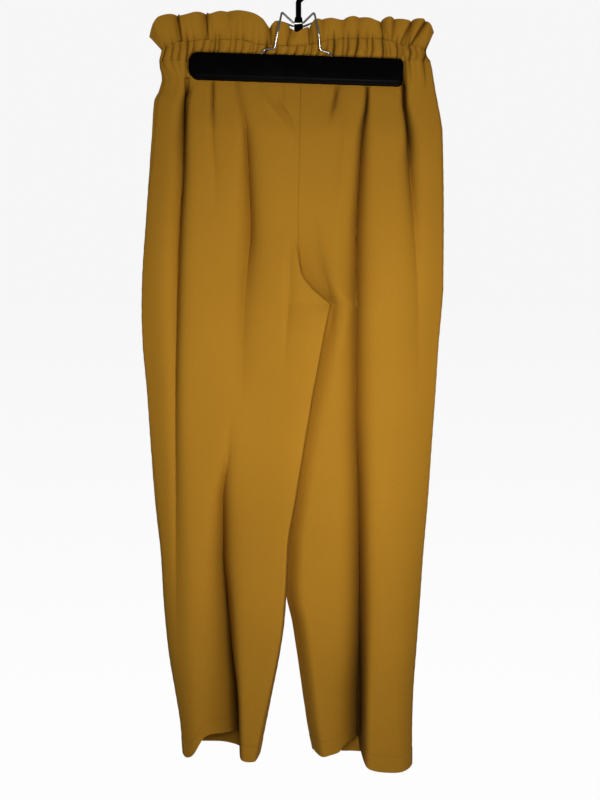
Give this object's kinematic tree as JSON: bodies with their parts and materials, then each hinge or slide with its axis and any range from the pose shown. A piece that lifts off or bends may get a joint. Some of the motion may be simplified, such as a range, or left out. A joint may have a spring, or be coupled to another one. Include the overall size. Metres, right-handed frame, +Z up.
{
  "type": "paperbag waist trousers on a clamp hanger",
  "caption": "Full-length trousers with a gathered paperbag frill waist and tapered legs, clamped at the waist in a flat-bar hanger.",
  "frame": {"origin": "where the hook rests on its rail, under the top of the hook's bend", "axes": "+X to the right seen from the front, +Y from the front to the back, +Z up"},
  "size_m": [0.3798, 0.0703, 1.008],
  "materials": {
    "cloth": "matte mustard crepe twill with a very slight sheen",
    "black_plastic": "black, semi-gloss, moulded",
    "steel": "bright drawn spring wire"
  },
  "bodies": {
    "root": {"front_left": "cloth", "front_right": "cloth", "back_left": "cloth", "back_right": "cloth", "casing_front": "cloth", "casing_back": "cloth", "frill_front": "cloth", "frill_back": "cloth", "clamp_bar_front": "black_plastic", "clamp_bar_back": "black_plastic", "clamp_wire_front": "steel", "clamp_wire_back": "steel", "swivel_block": "black_plastic", "hanger_hook": "black_plastic"}
  },
  "joints": []
}
